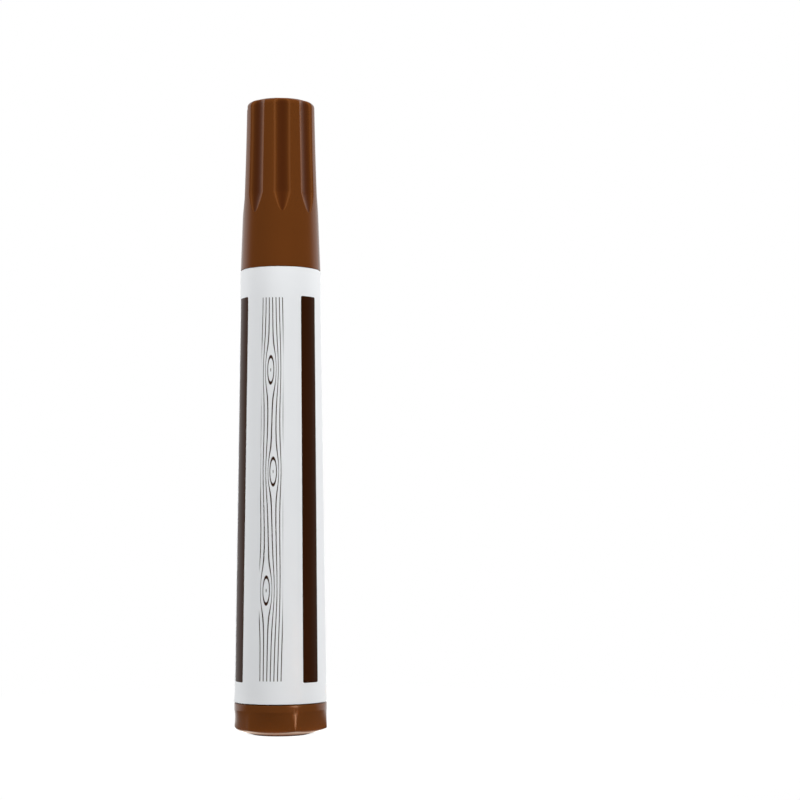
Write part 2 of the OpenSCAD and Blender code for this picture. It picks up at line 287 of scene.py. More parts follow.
flute_sag = math.sqrt(cap_top_r**2 - flute_half_w**2) - (cap_top_r - flute_depth)
flute_r = (flute_half_w**2 + flute_sag**2) / (2 * flute_sag)
flute_slope = (cap_skin(flute_full_z) - cap_top_r) / (cap_high - flute_full_z)


def flute_axis(z):
    """Distance from the pen's axis to the axis of the flute's round cutter."""
    return cap_top_r - flute_depth + flute_r + flute_slope * (cap_high - z)


flute_end_r = flute_axis(flute_end_z) - cap_skin(flute_end_z)
touch = 0.01 * MM


def fluted(radius, angle, z):
    """Where a point of the turned cap's skin lies on the fluted one, and its edge or hollow."""
    if radius < liner_end_r or (radius <= cap_bore_r + touch and z <= cap_roof_z + touch):
        return None
    pitch = 2 * math.pi / flute_count
    turn = (angle - cap_turn + pitch / 2) % pitch - pitch / 2
    taper = max((flute_full_z - z) / (flute_full_z - flute_end_z), 0)
    cutter = max(between(flute_r, flute_end_r, taper), 0)
    across = flute_axis(z) * math.sin(turn)
    depth = cap_skin(z) - flute_axis(z) + cutter
    if abs(across) >= cutter or depth <= touch:
        return radius, z, 0
    wall = flute_axis(z) * math.cos(turn) - math.sqrt(cutter**2 - across**2)
    formed, near = smooth_min(radius, wall, flute_edge * min(depth / flute_depth, 1))
    hollow = min((radius - formed) / depth, 1) * (1 - near)
    return formed, z, near**3 - hollow


ring_heights = (
    steps_between(grip_top_z, flute_full_z, grip_rings)
    + steps_between(flute_full_z, skirt_top_z, point_rings)
    + steps_between(skirt_top_z, skirt_low_z, skirt_rings)
)
cap = draw_outline("fluted_cap", [
    (0, cap_high), (liner_end_r, cap_high), (cap_top_r, cap_high, cap_edge_r),
    *((cap_skin(z), z) for z in ring_heights), (cap_rim_r, cap_low, cap_rim_edge),
    (cap_bore_r, cap_low, cap_rim_edge), (cap_bore_r, cap_step_z), (liner_r, cap_step_z),
    (liner_r, liner_mouth_z), (liner_end_r, cap_roof_z), (0, cap_roof_z),
], rounding=10)
spin_outline(cap, flute_count * steps_per_flute)
press(cap, fluted)
smooth(cap)

# %% [markdown]
# ## The tail plug
# The plug that closes the barrel stands on a small flat foot, with a dished underside round it. Its
# collar is round, to meet the label, and below it six shallow flats grow out of the round, so that the
# pen doesn't roll. Each flat is bowed: at the lower edge it is an arc of a large circle. The skin is
# pressed to a mix of the round and the six arcs, more of the arcs towards the foot, and the ridges
# between them stay soft. Where a flat lies further in, it meets the dish lower down, so the edge is
# moved along the dish too. A fine groove parts the collar from the label, and a ring close to each end
# of the collar keeps its shading flat.

# %% Turn the plug and press the flats
flats_z = label_low - 1.5 * MM
flat_depth = 0.9 * MM
ridge_r = tail_r + 0.24 * MM
ridge_edge = 0.42 * MM
# How much lighter the plug's ridges are painted: partly wear, partly a painted highlight.
ridge_wear_and_highlight = 0.4
flats_start = 0.85
flat_count = 6
foot_r = 5.3 * MM
dish_h = 1.2 * MM
dish_bow = 0.1
dish_edge = 0.25 * MM
collar_edge = 0.12 * MM
groove_floor_r = 8.3 * MM
groove_z = label_low - 0.22 * MM
spigot_r = 7.45 * MM
spigot_wall = 1.2 * MM
spigot_lead = 0.4 * MM
plug_bore_r = spigot_r - spigot_wall
plug_floor = 1.6 * MM
steps_per_flat = 64
dish_ring_count = 5
first_ring = 0.15
dense_from = 0.8
wall_ring_count = 8
dense_ring_count = 10

flat_r = ridge_r - flat_depth
half_flat = math.pi / flat_count
flat_sag = flat_r - ridge_r * math.cos(half_flat)
bow_r = (flat_sag**2 + (ridge_r * math.sin(half_flat)) ** 2) / (2 * flat_sag)


def bowed_flat(turn):
    """Radius of one bowed flat along a ray, turned from the middle of the flat."""
    centre = bow_r - flat_r
    return math.sqrt(bow_r**2 - (centre * math.sin(turn)) ** 2) - centre * math.cos(turn)


def dish(radius):
    """Height of the dished underside at a radius."""
    share = (radius - foot_r) / (ridge_r - foot_r)
    return dish_h * share * (1 - dish_bow + dish_bow * share)


def flatted(radius, angle, z):
    """Where a point of the turned plug lies on the one with flats, and its ridge."""
    inside = z >= plug_floor and radius <= plug_bore_r + touch
    if z >= flats_z or radius <= foot_r or inside:
        return None
    pitch = 2 * half_flat
    turn = (angle + half_flat) % pitch - half_flat
    edge_r, near = smooth_min(bowed_flat(turn), bowed_flat(pitch - abs(turn)), ridge_edge)
    outward = min((radius - foot_r) / (ridge_r - foot_r), 1)
    down = min((flats_z - z) / (flats_z - dish_h), 1) ** flats_start
    inward = (edge_r - ridge_r) * outward
    sink = dish(min(radius, ridge_r) + inward) - dish(min(radius, ridge_r))
    return radius + inward * down, z + sink * down, near**2 * outward * down * ridge_wear_and_highlight


dish_rings = [(radius, dish(radius)) for radius in steps_between(foot_r, ridge_r, dish_ring_count)]
wall_shares = (
    steps_between(first_ring, dense_from, wall_ring_count) + steps_between(dense_from, 1, dense_ring_count)
)
wall_rings = [
    (between(ridge_r, tail_r, share), between(dish_h, flats_z, share)) for share in wall_shares
]
plug = draw_outline("flatted_tail_plug", [
    (0, 0), *dish_rings, (ridge_r, dish_h, dish_edge), *wall_rings, (tail_r, flats_z),
    (tail_r, flats_z + collar_edge), (tail_r, groove_z - 2 * collar_edge),
    (tail_r, groove_z, collar_edge), (groove_floor_r, groove_z), (groove_floor_r, label_low),
    (spigot_r, label_low), (spigot_r, spigot_high, spigot_lead),
    (plug_bore_r, spigot_high), (plug_bore_r, plug_floor), (0, plug_floor),
], rounding=6)
spin_outline(plug, flat_count * steps_per_flat)
press(plug, flatted)
smooth(plug)

# %% [markdown]
# ## The label
# A printed film, shrunk onto the barrel: a thin sleeve that follows the straight part below the cap and
# the long taper. Real film has an edge that can be seen, so the sleeve keeps its thickness, its edges
# are rounded, and it ends a hair below the cap, which leaves a dark joint. Near the tail the edge stands
# off a little on one side, where the film didn't shrink quite tight.

# %% Turn the sleeve
film_t = 0.1 * MM
film_edge = 0.04 * MM
film_gap = 0.15 * MM
body_cap_r = 7.63 * MM
straight_z = label_high - 8 * MM
film_high = label_high - film_gap
film_lift = 0.12 * MM
film_lift_h = 2.2 * MM
film_lift_side = math.radians(-80)
lift_start_z = label_low + film_lift_h
lift_share = film_lift_h / (straight_z - label_low)
lift_r = between(body_tail_r, body_cap_r, lift_share)
film_steps = 192
lift_ring_count = 6

sleeve = draw_outline("printed_film", [
    (body_tail_r - film_t, label_low), (body_tail_r, label_low, film_edge),
    *((between(body_tail_r, lift_r, share), between(label_low, lift_start_z, share))
      for share in steps_between(first_ring, 1, lift_ring_count)),
    (lift_r, lift_start_z), (body_cap_r, straight_z), (body_cap_r, film_high, film_edge),
    (body_cap_r - film_t, film_high), (body_cap_r - film_t, straight_z), (lift_r - film_t, lift_start_z),
], closed=True)
spin_outline(sleeve, film_steps)
for vertex in sleeve.data.vertices:
    rise = max((lift_start_z - vertex.co.z) / film_lift_h, 0) ** 2
    angle = math.atan2(vertex.co.x, -vertex.co.y)
    side = max(math.cos(angle - film_lift_side), 0) ** 2
    vertex.co.xy *= 1 + film_lift * rise * side / vertex.co.xy.length
smooth(sleeve)

# %% [markdown]
# ## The barrel, the tip holder and the nib
# These show when the cap is off. The barrel is the white moulded tank, with a shoulder that the cap
# rests on, and a neck with a bead that grips it. The tip holder is pressed into the neck, and the felt
# nib slides in its bore. All three are turned from the outlines that their moulds have, with the
# corners that a hand would feel rounded.

# %% Turn the barrel
barrel_wall = 1.1 * MM
neck_r = 6.15 * MM
neck_z = label_high + 9 * MM
neck_edge = 0.3 * MM
shoulder_edge = 0.15 * MM
bead_z = label_high + 3 * MM
bead_h = 0.2 * MM
bead_w = 1.2 * MM
bead_edge = 0.3 * MM
socket_r = 5 * MM
ledge_z = neck_z - 11.2 * MM
cage_r = 4.2 * MM
run_gap = 0.05 * MM
tank_roof_z = ledge_z - 1.5 * MM
tank_wall = film_t + barrel_wall
spigot_share = (spigot_high - label_low) / (straight_z - label_low)

barrel = turned("moulded_barrel", [
    (spigot_r, label_low), (body_tail_r - film_t, label_low), (body_cap_r - film_t, straight_z),
    (body_cap_r - film_t, label_high, shoulder_edge), (neck_r, label_high),
    (neck_r, bead_z - bead_w / 2), (neck_r + bead_h, bead_z, bead_edge), (neck_r, bead_z + bead_w / 2),
    (neck_r, neck_z, neck_edge), (socket_r, neck_z), (socket_r, ledge_z), (cage_r + run_gap, ledge_z),
    (cage_r + run_gap, tank_roof_z), (body_cap_r - tank_wall, tank_roof_z),
    (body_cap_r - tank_wall, straight_z),
    (between(body_tail_r, body_cap_r, spigot_share) - tank_wall, spigot_high), (spigot_r, spigot_high),
], steps=128, closed=True)
smooth(barrel)

# %% Turn the tip holder and cut its flow grooves
flange_z = neck_z + 1 * MM
seal_r = 4.85 * MM
seal_z = flange_z + 4 * MM
nose_r = 3.3 * MM
nose_z = seal_z + 5 * MM
nib_r = 2.3 * MM
valve_z = neck_z - 6.2 * MM
well_z = valve_z + 5 * MM
chamber_r = 3.9 * MM
groove_count = 3
groove_w = 0.8 * MM
groove_depth = 0.35 * MM
flange_edge = 0.3 * MM
flange_fillet = 0.2 * MM
seal_edge = 0.6 * MM
nose_edge = 0.4 * MM
nib_bore_r = nib_r + run_gap

holder = turned("tip_holder_nose", [
    (chamber_r, valve_z), (socket_r, valve_z), (socket_r, neck_z), (neck_r, neck_z),
    (neck_r, flange_z, flange_edge), (seal_r, flange_z, flange_fillet), (seal_r, seal_z, seal_edge),
    (nose_r, nose_z, nose_edge), (nib_bore_r, nose_z), (nib_bore_r, well_z),
    (chamber_r, well_z - (chamber_r - nib_bore_r)),
], steps=144, closed=True)


def cut_slots(piece, count, width, inner, outer, low, high):
    """Cut straight slots out from the axis with Boolean blocks, spaced round it, the first at the front."""
    for index in range(count):
        bpy.ops.object.select_all(action="DESELECT")
        bpy.ops.mesh.primitive_cube_add(size=1)
        block = bpy.context.object
        bpy.ops.object.mode_set(mode="EDIT")
        bpy.ops.transform.resize(value=(width, outer - inner, high - low))
        bpy.ops.transform.translate(value=(0, -(inner + outer) / 2, (low + high) / 2))
        bpy.ops.object.mode_set(mode="OBJECT")
        block.data.transform(Matrix.Rotation(2 * math.pi * index / count, 4, "Z"))
        bpy.context.view_layer.objects.active = piece
        cut = piece.modifiers.new("slot", "BOOLEAN")
        cut.object = block
        cut.solver = "EXACT"
        bpy.ops.object.modifier_apply(modifier=cut.name)
        bpy.data.objects.remove(block)
    print(f"{piece.name}: {count} slots, {len(piece.data.polygons)} faces")


over = 1 * MM
cut_slots(holder, groove_count, groove_w, 0, nib_bore_r + groove_depth, valve_z - over, nose_z + over)
smooth(holder)

# %% Turn the nib
nib_low, nib_high = heights("nib")
nib_shoulder_z = nib_high - 2.7 * MM
nib_cheek_z = nib_high - 1.2 * MM
nib_cheek_r = 0.86 * nib_r
nib_point_r = 0.4 * nib_r
nib_end_edge = 0.3 * MM
nib_shoulder_edge = 0.5 * MM
nib_cheek_edge = 0.6 * MM
nib_point_edge = 0.7 * MM
round_angle = 60

nib = turned("felt_nib", [
    (0, nib_low), (nib_r, nib_low, nib_end_edge), (nib_r, nib_shoulder_z, nib_shoulder_edge),
    (nib_cheek_r, nib_cheek_z, nib_cheek_edge), (nib_point_r, nib_high, nib_point_edge), (0, nib_high),
], steps=96)
smooth(nib, round_angle)

# %% [markdown]
# ## The cap's liner
# A soft inner cup of thin plastic, pressed into the cap. It seals on the land of the tip holder, and
# keeps the nib wet. It shows from below when the cap is off.

# %% Turn the liner
liner_bore_r = seal_r + run_gap
liner_wall = liner_r - liner_bore_r
liner_lip_edge = 0.15 * MM
liner_roof_edge = 0.6 * MM

liner = turned("cap_liner_cup", [
    (0, cap_roof_z), (liner_end_r, cap_roof_z), (liner_r, liner_mouth_z), (liner_r, cap_step_z),
    (liner_bore_r, cap_step_z, liner_lip_edge), (liner_bore_r, liner_mouth_z),
    (liner_end_r - liner_wall, cap_roof_z - liner_wall, liner_roof_edge), (0, cap_roof_z - liner_wall),
], steps=128)
smooth(liner)

# %% [markdown]
# ## The valve and the balls
# Inside the neck sits a valve: a housing with a conical seat and a windowed cage, a stem that the nib
# pushes, a coil spring that closes it, and a notched disc that holds the spring. Two steel balls lie
# loose in the tank. None of it shows, but the pen works by it, so each piece is made with the same
# care.

# %% Turn the housing, the stem and the retainer
housing_low, housing_high = heights("valve_housing")
stem_low, stem_high = heights("valve_stem")
retainer_low, retainer_high = heights("spring_retainer")
cage_bore_r = 3.3 * MM
chamber_z = housing_high - 2.5 * MM
seat_z = chamber_z - 1.3 * MM
seat_r = 2.3 * MM
seat_hole_r = 1.3 * MM
window_z = housing_low + 3.4 * MM
window_h = 7 * MM
window_w = 2.4 * MM
window_count = 4
cage_edge = 0.2 * MM
chamber_edge = 0.3 * MM

housing = turned("valve_housing_cage", [
    (cage_bore_r, housing_low), (cage_r, housing_low, cage_edge), (cage_r, ledge_z), (socket_r, ledge_z),
    (socket_r, housing_high), (chamber_r, housing_high), (chamber_r, chamber_z, chamber_edge),
    (seat_hole_r, chamber_z), (seat_hole_r, seat_z + seat_r - seat_hole_r), (seat_r, seat_z),
    (cage_bore_r, seat_z),
], steps=96, closed=True)
cut_slots(housing, window_count, window_w, 0, cage_r + over, window_z, window_z + window_h)
smooth(housing)

stem_r = 1.05 * MM
guide_r = 1.2 * MM
poppet_r = 2.4 * MM
cone_z = seat_z - run_gap
poppet_front_z = cone_z - (poppet_r - seat_r)
poppet_z = poppet_front_z - 1.6 * MM
stem_edge = 0.2 * MM
guide_edge = 0.3 * MM

stem = turned("valve_stem_rod", [
    (0, stem_low), (guide_r, stem_low, guide_edge), (guide_r, poppet_z), (poppet_r, poppet_z, stem_edge),
    (poppet_r, poppet_front_z), (stem_r, cone_z + seat_r - stem_r), (stem_r, stem_high, stem_edge),
    (0, stem_high),
], steps=64)
smooth(stem)

notch_count = 3
notch_w = 1.6 * MM
notch_depth = 0.7 * MM
disc_edge = 0.2 * MM
disc_hole_edge = 0.1 * MM
disc_hole_r = guide_r + run_gap

retainer = turned("spring_retainer_disc", [
    (disc_hole_r, retainer_low), (cage_bore_r, retainer_low, disc_edge), (cage_bore_r, retainer_high),
    (disc_hole_r, retainer_high, disc_hole_edge),
], steps=96, closed=True)
cut_slots(retainer, notch_count, notch_w, cage_bore_r - notch_depth, cage_r, retainer_low - over,
          retainer_high + over)
smooth(retainer)

# %% [markdown]
# A coil spring is one circle, swept along a helix. The Screw modifier does that: it turns the circle
# round the axis and lifts it by one pitch a turn. The end turns of a real spring are closed, so they are
# pressed flat afterwards by giving each point the height that its share of the turns has there. The
# sweep leaves the two cut ends of the wire open, and they are filled last.

# %% Wind the spring
wire_r = 0.25 * MM
wire_sides = 14
coil_r = 1.9 * MM
coil_turns = 7
coil_steps = 32
spring_span = poppet_z - retainer_high - 2 * wire_r
coil_pitch = spring_span / coil_turns


def closed_ends(turn):
    """Height of the wire's middle after some turns, with the first and the last turn closed."""
    if turn <= 1:
        return turn * 2 * wire_r
    if turn >= coil_turns - 1:
        return spring_span - (coil_turns - turn) * 2 * wire_r
    return between(2 * wire_r, spring_span - 2 * wire_r, (turn - 1) / (coil_turns - 2))


bpy.ops.object.select_all(action="DESELECT")
bpy.ops.mesh.primitive_circle_add(vertices=wire_sides, radius=wire_r, fill_type="NGON")
spring = bpy.context.object
spring.name = "valve_spring_coil"
bpy.ops.object.mode_set(mode="EDIT")
bpy.ops.mesh.select_all(action="SELECT")
bpy.ops.transform.rotate(value=math.pi / 2, orient_axis="X", center_override=(0, 0, 0))
bpy.ops.transform.translate(value=(coil_r, 0, 0))
bpy.ops.object.mode_set(mode="OBJECT")
wind = spring.modifiers.new("wind", "SCREW")
wind.axis = "Z"
wind.angle = 2 * math.pi
wind.iterations = coil_turns
wind.screw_offset = coil_pitch
wind.steps = coil_steps
wind.render_steps = coil_steps
bpy.ops.object.modifier_apply(modifier=wind.name)
for vertex in spring.data.vertices:
    part_turn = math.atan2(vertex.co.y, vertex.co.x) / (2 * math.pi)
    turn = part_turn + round(vertex.co.z / coil_pitch - part_turn)
    turn = min(max(turn, 0), coil_turns)
    vertex.co.z += closed_ends(turn) - turn * coil_pitch + retainer_high + wire_r
bpy.ops.object.mode_set(mode="EDIT")
bpy.ops.mesh.select_all(action="SELECT")
bpy.ops.mesh.remove_doubles(threshold=weld)
bpy.ops.mesh.fill_holes(sides=0)
bpy.ops.mesh.select_all(action="SELECT")
bpy.ops.mesh.normals_make_consistent(inside=False)
bpy.ops.object.mode_set(mode="OBJECT")
smooth(spring, round_angle)
spring_low = min(vertex.co.z for vertex in spring.data.vertices)
spring_high = max(vertex.co.z for vertex in spring.data.vertices)
print(f"spring from {spring_low / MM:.2f} to {spring_high / MM:.2f} mm, {len(spring.data.polygons)} faces")

# %% [markdown]
# A ball made from a cube has even faces and no poles: the cube is divided, and To Sphere moves every
# vertex to the same distance from the middle.

# %% Make the mixing balls
ball_cuts = 15


def mixing_ball(name, node):
    """A round ball in the place of a solid."""
    low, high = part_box(node)
    radius = (high.z - low.z) / 2
    bpy.ops.object.select_all(action="DESELECT")
    bpy.ops.mesh.primitive_cube_add(size=2 * radius)
    ball = bpy.context.object
    ball.name = name
    bpy.ops.object.mode_set(mode="EDIT")
    bpy.ops.mesh.select_all(action="SELECT")
    bpy.ops.mesh.subdivide(number_cuts=ball_cuts)
    bpy.ops.transform.tosphere(value=1)
    bpy.ops.object.mode_set(mode="OBJECT")
    for vertex in ball.data.vertices:
        vertex.co = vertex.co.normalized() * radius + (low + high) / 2
    smooth(ball, round_angle)
    return ball


balls = [mixing_ball(f"steel_ball_{index}", f"mixing_ball_{index}") for index in (1, 2)]
print("balls:", [ball.name for ball in balls])

# %% [markdown]
# ## Writing finishes as sums
# A finish is a small graph of nodes. Wired one by one, a mask for a printed stripe takes a page, so a
# small class wraps a socket, and adding, multiplying or comparing two of them adds the Math node that
# does it. Every other node comes from one method, which takes the node's type, its settings and its
# inputs.

# %% Helpers for finishes
class Value:
    """One output socket of a finish. Arithmetic on it adds Math nodes."""

    def __init__(self, finish, socket):
        self.finish = finish
        self.socket = socket

    def math(self, operation, *others):
        inputs = dict(enumerate((self, *others)))
        return self.finish.node("ShaderNodeMath", {"operation": operation}, inputs)

    def __add__(self, other):
        return self.math("ADD", other)

    def __sub__(self, other):
        return self.math("SUBTRACT", other)

    def __mul__(self, other):
        return self.math("MULTIPLY", other)

    def __truediv__(self, other):
        return self.math("DIVIDE", other)

    def __rsub__(self, other):
        return (self * -1) + other

    __radd__ = __add__
    __rmul__ = __mul__

    def __abs__(self):
        return self.math("ABSOLUTE")

    def at_least(self, other):
        return self.math("MAXIMUM", other)

    def step(self, low, high):
        """A soft step from 0 at low to 1 at high."""
        settings = {"interpolation_type": "SMOOTHSTEP"}
        inputs = {"Value": self, "From Min": low, "From Max": high}
        return self.finish.node("ShaderNodeMapRange", settings, inputs)


class Graph:
    """A node tree, of a material or of the world."""

    def __init__(self, tree):
        self.tree = tree

    def node(self, kind, settings, inputs, output=0):
        """Add a node, set it, fill its inputs with numbers or links, and hand back one output."""
        made = self.tree.nodes.new(kind)
        for name, setting in settings.items():
            setattr(made, name, setting)
        for name, content in inputs.items():
            self.fill(made.inputs[name], content)
        return Value(self, made.outputs[output])

    def fill(self, socket, content):
        """Link a value to a socket, or set the socket to a number or a colour."""
        if isinstance(content, Value):
            self.tree.links.new(content.socket, socket)
        else:
            socket.default_value = content

    def mix(self, share, first, second):
        """A colour between two colours. A Mix node has its colour sockets after the other kinds."""
        return self.node("ShaderNodeMix", {"data_type": "RGBA"}, {0: share, 6: first, 7: second}, 2)


class Finish(Graph):
    """A material with one Principled shader. Constants go straight on its sockets."""

    def __init__(self, name, **constants):
        self.material = bpy.data.materials.new(name)
        self.material.use_nodes = True
        super().__init__(self.material.node_tree)
        self.shader = self.tree.nodes["Principled BSDF"]
        for socket, constant in constants.items():
            self.feed(socket.replace("_", " "), constant)
        self.place = self.node("ShaderNodeTexCoord", {}, {}, "Object")

    def feed(self, socket, content):
        """Give one of the shader's sockets a constant, or a value that varies over the surface."""
        self.fill(self.shader.inputs[socket], content)

    def noise(self, scale, detail=2, stretch=None):
        """Noise about 0, from -0.5 to 0.5, with features of about 1 / scale metres."""
        place = self.place
        if stretch:
            place = self.node("ShaderNodeMapping", {}, {"Vector": place, "Scale": stretch})
        inputs = {"Vector": place, "Scale": scale, "Detail": detail}
        return self.node("ShaderNodeTexNoise", {}, inputs) - 0.5

    def bump(self, height, depth, strength=1.0):
        """Raise the surface by a height from about 0 to 1, times a depth in metres."""
        inputs = {"Height": height, "Distance": depth, "Strength": strength}
        self.feed("Normal", self.node("ShaderNodeBump", {}, inputs))


def colour(red, green, blue):
    """A colour as written for a screen, from 0 to 255, as the light that it stands for."""
    def light(level):
        level = level / 255
        return level / 12.92 if level <= 0.04045 else ((level + 0.055) / 1.055) ** 2.4
    return (light(red), light(green), light(blue), 1)


# %% [markdown]
# ## Brown moulded plastic
# The cap and the plug are moulded in one warm brown. Such plastic is smooth but not a mirror: the colour
# drifts a little with the flow of the melt, the mould leaves faint marks along its draw, the edges are
# a little lighter, partly from wear and partly as a painted highlight, and the flutes get painted shade
# in their hollows. The attribute from the pressing tells where those are. The plug keeps the gloss of
# its mould. The cap is handled more, so it is duller, most of all in and along its flutes.

# %% The brown plastic
wear_and_highlight_share = 0.4
painted_shade_share = 0.9
plug_roughness = 0.15
cap_roughness = 0.08
flute_roughness = 0.22
brown = Finish("brown_moulded_plastic", Specular_IOR_Level=0.3)
flow = brown.noise(140, 3)
draw_marks = brown.noise(1, 2, stretch=(900, 900, 45))
speckle = brown.noise(2600, 2)
form = brown.node("ShaderNodeAttribute", {"attribute_name": "form"}, {}, "Fac")
edge = form.at_least(0)
hollow = (form * -1).at_least(0).math("SQRT")
base = brown.mix(flow + 0.5, colour(104, 56, 18), colour(109, 59, 20))
# The flutes' hollows are mixed towards a dark brown by their depth: painted shade.
flute_painted_shade = brown.mix(hollow * painted_shade_share, base, colour(76, 34, 7))
# Edges are mixed towards a light brown: partly wear, partly a painted highlight.
brown.feed("Base Color", brown.mix(edge * wear_and_highlight_share, flute_painted_shade, colour(154, 96, 52)))
height = brown.node("ShaderNodeSeparateXYZ", {}, {"Vector": brown.place}, "Z")
on_cap = height.step(label_low, label_high)
dulled = on_cap * (cap_roughness + (edge + hollow) * flute_roughness)
brown.feed("Roughness", plug_roughness + dulled + draw_marks * 0.06 + flow * 0.05)
brown.bump(draw_marks * 0.6 + speckle * 0.4, 0.01 * MM, 0.4)
print("brown plastic with", len(brown.tree.nodes), "nodes")

# %% [markdown]
# ## The printed film
# White film with two dark stripes that run along the pen, and a column of printed wood grain between
# them. The print follows the taper, so everything on it is placed by its angle round the pen and its
# height. A stripe is a rectangle with rounded corners: its distance formula gives a crisp edge at any
# zoom, and a narrow soft step makes the mask. Shrinking pulled the film a little round the pen, more so
# near the tail, and left the stripes as wide as they were printed.

# %% The stripes
film = Finish("printed_label_film", Specular_IOR_Level=0.12)
across, depth_axis, up = (
    film.node("ShaderNodeSeparateXYZ", {}, {"Vector": film.place}, name) for name in "XYZ"
)
angle = across.math("ARCTAN2", depth_axis * -1)
film_r = (across * across + depth_axis * depth_axis).math("SQRT")
mean_r = (body_tail_r + body_cap_r) / 2
print_low = 9.95 * MM
print_high = 82.05 * MM
ink_edge = 0.02 * MM
ink_corner = 0.3 * MM
film_twist = math.radians(1.5)
from_top = (print_high - up) / (print_high - print_low)
angle = angle + film_twist * from_top


def printed_block(off_middle, width, low, high):
    """1 inside a block with rounded corners, by the way along the film from its middle, and 0 outside."""
    beside = abs(off_middle) - width / 2 + ink_corner
    along = abs(up - (low + high) / 2) - (high - low) / 2 + ink_corner
    out_beside = beside.at_least(0)
    out_along = along.at_least(0)
    distance = (out_beside * out_beside + out_along * out_along).math("SQRT") - ink_corner
    return 1 - distance.step(-ink_edge, ink_edge)


stripe_w = 3.64 * MM
stripe_start = math.radians(41.5)
stripe_spread = math.radians(0.4)
stripe_inner = stripe_start + stripe_spread * from_top
off_stripe = (abs(angle) - stripe_inner) * film_r - stripe_w / 2
stripes = printed_block(off_stripe, stripe_w, print_low, print_high)
print(f"stripes from {print_low / MM:.1f} to {print_high / MM:.1f} mm")

# %% [markdown]
# Wood grain runs along the board and flows round a knot as water flows round a stone. The formula for
# that flow is simple: the lines are where one value, the stream, is the same, and each knot bends the
# stream by its radius squared over the distance squared. Inside a knot the lines are its rings. Cutting
# the value at even steps draws lines of even spacing, with no picture file.

# %% The grain and the film's colours
line_step = 0.62 * MM
line_half = 0.13
line_soft = 0.05
knot_stretch = 4.0
knot_soft = 0.03
sway_w = 0.5 * MM
panel_half = math.radians(15.5)
panel_inset = 0.4 * MM
knots = [
    (-0.93 * MM, 27 * MM, 0.9 * MM),
    (0.31 * MM, 49 * MM, 0.8 * MM),
    (-0.31 * MM, 68 * MM, 0.9 * MM),
]


def lines_of(value):
    """1 on thin lines where a value passes whole steps, and 0 between them."""
    off_line = abs((value / line_step).math("FRACT") - 0.5)
    return off_line.step(0.5 - line_half - line_soft, 0.5 - line_half + line_soft)


sway = film.noise(1, 1, stretch=(60, 60, 38))
beside_front = angle * mean_r + sway * sway_w
stream = beside_front
in_knot = 0
rings = 0
for knot_side, knot_z, knot_r in knots:
    off_side = beside_front - knot_side
    off_up = (up - knot_z) / knot_stretch
    apart = off_side * off_side + off_up * off_up
    stream = stream - off_side * (knot_r**2) / apart.at_least(knot_r**2 / 4)
    radius = apart.math("SQRT")
    near_knot = 1 - radius.step(knot_r * (1 - knot_soft), knot_r * (1 + knot_soft))
    in_knot = near_knot + in_knot
    rings = near_knot * lines_of(radius) + rings
panel_w = 2 * panel_half * mean_r
panel = printed_block(angle * mean_r, panel_w, print_low + panel_inset, print_high - panel_inset)
grain = panel * (lines_of(stream) * (1 - in_knot) + rings)
ink = stripes.at_least(grain)
cloud = film.noise(90, 2)
crinkle = film.noise(1, 2, stretch=(260, 260, 60))
white = film.mix(cloud + 0.5, colour(239, 241, 243), colour(244, 246, 248))
dark = film.mix(cloud + 0.5, colour(46, 20, 4), colour(54, 25, 6))
film.feed("Base Color", film.mix(ink, white, dark))
film.feed("Roughness", 0.38 + crinkle * 0.08 - ink * 0.06)
film.bump(crinkle + ink * 0.15, 0.01 * MM, 0.4)
print("printed film with", len(film.tree.nodes), "nodes")

# %% [markdown]
# ## The inner finishes
# White and natural polyolefin, felt soaked with paint, drawn wire and polished steel. Each has the
# marks of how it was made: a fine mould texture on plastics, fibres along the nib, draw lines on the wire.

# %% Plain plastics
def moulded(name, low, high, roughness, texture):
    """A pale moulded plastic whose colour lies between two tones, with a fine mould texture."""
    plastic = Finish(name, Specular_IOR_Level=0.5, Subsurface_Weight=0.08, Subsurface_Scale=0.0006)
    plastic.shader.inputs["Subsurface Radius"].default_value = (1.0, 0.9, 0.8)
    drift = plastic.noise(160, 3)
    fine = plastic.noise(texture, 2)
    rings = plastic.noise(1, 2, stretch=(60, 60, 1400))
    plastic.feed("Base Color", plastic.mix(drift + 0.5, low, high))
    plastic.feed("Roughness", roughness + drift * 0.08 + rings * 0.06)
    plastic.bump(fine * 0.7 + rings * 0.3, 0.012 * MM, 0.5)
    return plastic


barrel_white = moulded("white_barrel_plastic", colour(226, 228, 228), colour(235, 236, 236), 0.36, 2200)
holder_white = moulded("holder_plastic", colour(222, 220, 212), colour(232, 230, 224), 0.34, 2600)
valve_natural = moulded("valve_plastic", colour(215, 212, 200), colour(228, 225, 214), 0.42, 2000)
stem_white = moulded("stem_plastic", colour(224, 224, 220), colour(234, 234, 231), 0.38, 2400)
liner_natural = moulded("liner_plastic", colour(218, 216, 206), colour(230, 228, 219), 0.45, 1800)
print("plastics:", [plastic.material.name for plastic in (barrel_white, holder_white, valve_natural)])

# %% Felt, wire and polished steel
felt = Finish("paint_soaked_felt", Specular_IOR_Level=0.3, Sheen_Weight=0.25, Sheen_Roughness=0.6)
fibres = felt.noise(1, 4, stretch=(5200, 5200, 700))
soak = felt.noise(420, 2)
felt.feed("Base Color", felt.mix(fibres * 0.8 + soak * 0.5 + 0.5, colour(70, 34, 10), colour(112, 62, 26)))
felt.feed("Roughness", 0.82 + fibres * 0.2)
felt.bump(fibres + 0.5, 0.06 * MM, 0.9)

wire = Finish("drawn_spring_wire", Metallic=1.0)
draw_lines = wire.noise(1, 2, stretch=(900, 900, 5200))
wire.feed("Base Color", wire.mix(draw_lines + 0.5, colour(172, 174, 178), colour(200, 202, 205)))
wire.feed("Roughness", 0.28 + draw_lines * 0.16)
wire.bump(draw_lines, 0.006 * MM, 0.5)

